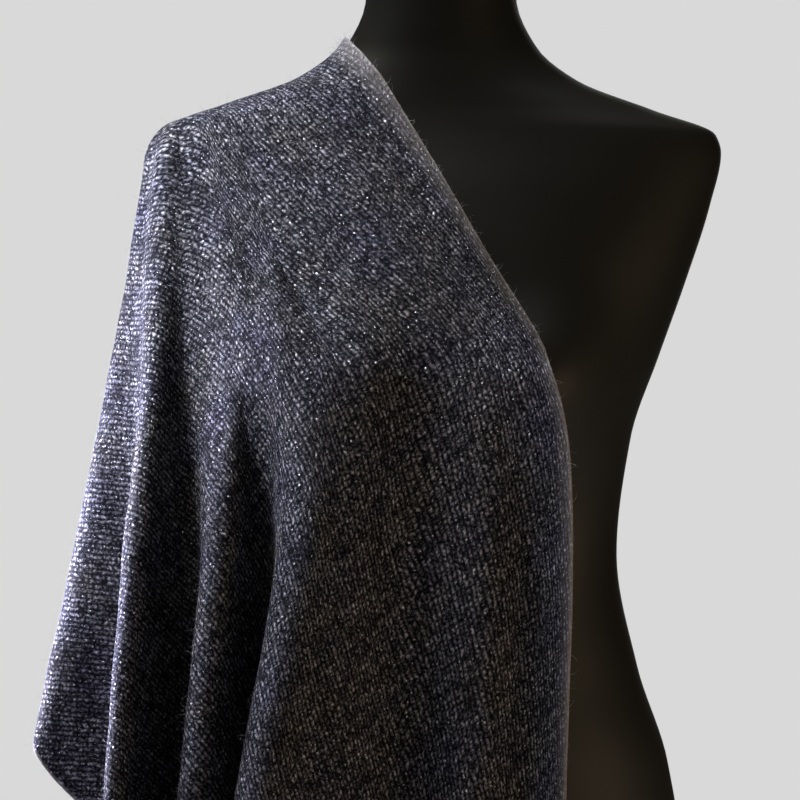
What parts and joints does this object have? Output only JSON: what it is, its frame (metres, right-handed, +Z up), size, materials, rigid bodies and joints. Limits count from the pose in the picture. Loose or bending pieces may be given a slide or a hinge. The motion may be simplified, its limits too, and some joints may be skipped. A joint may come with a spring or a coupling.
{
  "type": "knitted triangle shawl on a dress form",
  "caption": "Fine metallic-knit triangle shawl draped over one shoulder of a limbless dress form, hanging in soft folds at front, side and back, on a pole and round foot.",
  "frame": {"origin": "centre of the underside of the round foot, on the surface that the stand rests on", "axes": "+Z up along the pole, -Y the way the form's chest faces, +X towards the wearer's left, so the shawl hangs on the -X shoulder"},
  "size_m": [0.4959, 0.3396, 1.271],
  "materials": {
    "metallic_knit": "fine stockinette knit of navy and grey mohair with a silver metallic thread, matt with small glints",
    "black_form": "smooth satin black",
    "black_steel": "satin black paint"
  },
  "bodies": {
    "root": {"shawl": "metallic_knit", "dress_form": "black_form", "form_flange": "black_steel", "pole": "black_steel", "foot_hub": "black_steel", "foot": "black_steel"}
  },
  "joints": []
}
